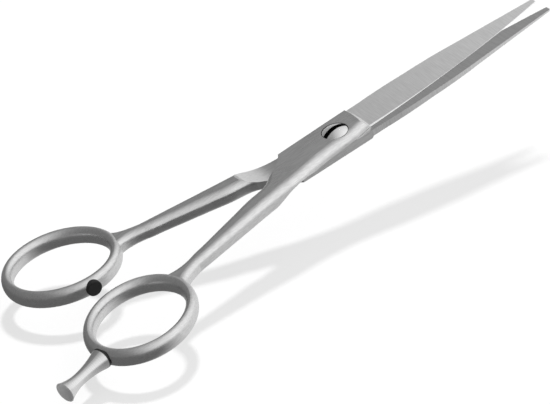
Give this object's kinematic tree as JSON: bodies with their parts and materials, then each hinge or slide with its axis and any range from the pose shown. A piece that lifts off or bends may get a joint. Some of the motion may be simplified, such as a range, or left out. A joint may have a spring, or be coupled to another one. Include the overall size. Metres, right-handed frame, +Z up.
{
  "type": "hair cutting shears",
  "caption": "Hair cutting shears with an offset finger ring and thumb ring, a coin-slot pivot screw, a rubber bumper and a screw-in finger rest.",
  "frame": {"origin": "on the pivot screw's axis, in the plane that the shears lie on: the screw's flat end face, level with the lowest line of the finger rest's washer", "axes": "+X from the pivot to the blade tips along the shears' centre line as they lie slightly open, +Y towards the thumb ring, +Z up, out of the screw's head"},
  "size_m": [0.1786, 0.064, 0.0062],
  "materials": {
    "forged_steel": "satin ground stainless steel",
    "polished_steel": "polished stainless steel",
    "turned_steel": "fine turned stainless steel",
    "black_nylon": "matte black nylon",
    "black_rubber": "matte black rubber"
  },
  "bodies": {
    "thumb_lever": {"thumb_half": "forged_steel", "bumper": "black_rubber"},
    "finger_lever": {"finger_half": "forged_steel", "slide_bush": "black_nylon", "finger_rest": "turned_steel", "rest_washer": "black_nylon"},
    "tension_screw": {"pivot_screw": "polished_steel"}
  },
  "joints": [
    {"name": "pivot", "type": "hinge", "parent": "thumb_lever", "child": "finger_lever", "pos_m": [0, 0, 0.0028], "axis": [0, 0, 1], "range_deg": [-4.15, 85.2]},
    {"name": "tension_screw_turn", "type": "hinge", "parent": "thumb_lever", "child": "tension_screw", "pos_m": [0, 0, 0.0028], "axis": [0, 0, 1], "range_deg": [-90, 90]}
  ]
}
